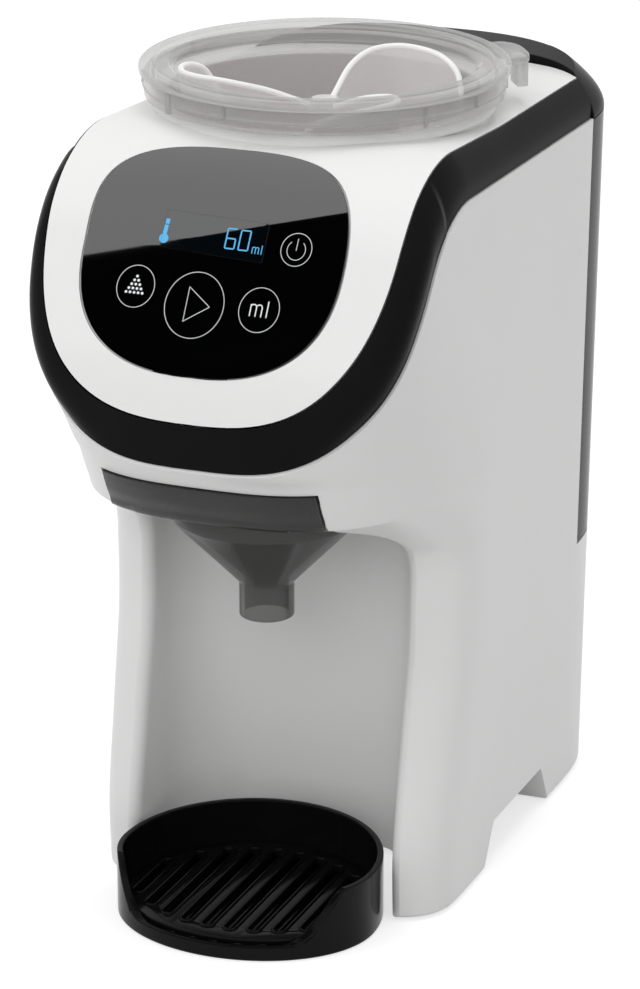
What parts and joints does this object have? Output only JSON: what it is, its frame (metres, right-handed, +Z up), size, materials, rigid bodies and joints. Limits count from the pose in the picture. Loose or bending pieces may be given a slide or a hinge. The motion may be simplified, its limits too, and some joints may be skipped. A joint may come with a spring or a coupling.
{
  "type": "baby formula maker",
  "caption": "Countertop formula maker: clear powder container on top, slanted touch panel, pull-out funnel over a bottle bay with a drip tray, and a lift-off water tank at the rear.",
  "frame": {"origin": "centre of the footprint at the height that the rubber feet stand on", "axes": "+Z up, -Y towards the user at the front of the machine, +X to the user's right"},
  "size_m": [0.15, 0.264, 0.3097],
  "materials": {
    "white_shell": "gloss white",
    "black_trim": "gloss black",
    "panel_glass": "polished black",
    "clear_plastic": "clear",
    "smoked_plastic": "smoked, see-through",
    "coral_plastic": "satin",
    "frosted_plastic": "frosted",
    "black_plastic": "satin",
    "rubber": "matt",
    "hose_silicone": "milky",
    "steel": "zinc plated",
    "aluminium": "cast",
    "board_green": "circuit board",
    "nylon": "natural"
  },
  "bodies": {
    "machine": {"main_shell": "white_shell", "foot_0": "rubber", "foot_1": "rubber", "foot_2": "rubber", "foot_3": "rubber", "service_hatch": "white_shell", "hatch_screw_0": "steel", "hatch_screw_1": "steel", "hatch_screw_2": "steel", "hatch_screw_3": "steel", "trim_band": "black_trim", "top_cover": "white_shell", "touch_panel": "panel_glass", "display_board": "board_green", "display_unit": "black_plastic", "container_seat": "white_shell", "gear_plate": "nylon", "gear_motor": "steel", "powder_chute": "white_shell", "water_nozzle": "black_plastic", "tank_socket": "black_plastic", "socket_seal": "rubber", "water_pump": "black_plastic", "water_heater": "aluminium", "heater_bracket": "steel", "hose_tank": "hose_silicone", "hose_pump": "hose_silicone", "hose_nozzle": "hose_silicone", "power_board": "board_green", "transformer": "steel", "control_board": "board_green", "mains_inlet": "black_plastic"},
    "gear": {"drive_gear": "nylon"},
    "pinion": {"motor_pinion": "nylon"},
    "container": {"powder_container": "clear_plastic"},
    "wheel": {"powder_wheel": "coral_plastic", "stirrer": "frosted_plastic"},
    "container_cap": {"container_lid": "clear_plastic"},
    "drawer": {"funnel_drawer": "smoked_plastic"},
    "tray": {"drip_tray": "black_plastic"},
    "grate": {"drip_grate": "black_plastic"},
    "tank": {"water_tank": "smoked_plastic", "valve_cage": "frosted_plastic", "valve_spring": "steel"},
    "tank_cap": {"tank_lid": "black_trim"},
    "valve": {"tank_valve": "black_plastic"}
  },
  "joints": [
    {"name": "container_lift", "type": "slide", "parent": "machine", "child": "container", "axis": [0, 0, 1], "range_m": [0, 0.09]},
    {"name": "container_lid_lift", "type": "slide", "parent": "container", "child": "container_cap", "axis": [0, 0, 1], "range_m": [0, 0.05]},
    {"name": "wheel_spin", "type": "hinge", "parent": "container", "child": "wheel", "pos_m": [0, -0.0007, 0.2336], "axis": [0, 0, 1], "continuous": true},
    {"name": "gear_spin", "type": "hinge", "parent": "machine", "child": "gear", "pos_m": [0, -0.0007, 0.2205], "axis": [0, 0, 1], "continuous": true},
    {"name": "pinion_spin", "type": "hinge", "parent": "machine", "child": "pinion", "pos_m": [0, 0.0353, 0.2205], "axis": [0, 0, 1], "continuous": true},
    {"name": "drawer_slide", "type": "slide", "parent": "machine", "child": "drawer", "axis": [0, -1, 0], "range_m": [0, 0.1]},
    {"name": "tray_slide", "type": "slide", "parent": "machine", "child": "tray", "axis": [0, -1, 0], "range_m": [0, 0.08]},
    {"name": "grate_lift", "type": "slide", "parent": "tray", "child": "grate", "axis": [0, 0, 1], "range_m": [0, 0.05]},
    {"name": "tank_lift", "type": "slide", "parent": "machine", "child": "tank", "axis": [0, 0, 1], "range_m": [0, 0.18]},
    {"name": "tank_lid_hinge", "type": "hinge", "parent": "tank", "child": "tank_cap", "pos_m": [0, 0.1323, 0.27288], "axis": [-1, 0, 0], "range_deg": [0, 95]},
    {"name": "valve_slide", "type": "slide", "parent": "tank", "child": "valve", "axis": [0, 0, 1], "range_m": [0, 0.0025], "stiffness_N_per_m": 60, "springref_m": -0.003, "deforming": ["valve_spring"]}
  ],
  "couplings": [
    {"joint": "gear_spin", "follows": "wheel_spin", "ratio": 1},
    {"joint": "pinion_spin", "follows": "wheel_spin", "ratio": -3}
  ]
}
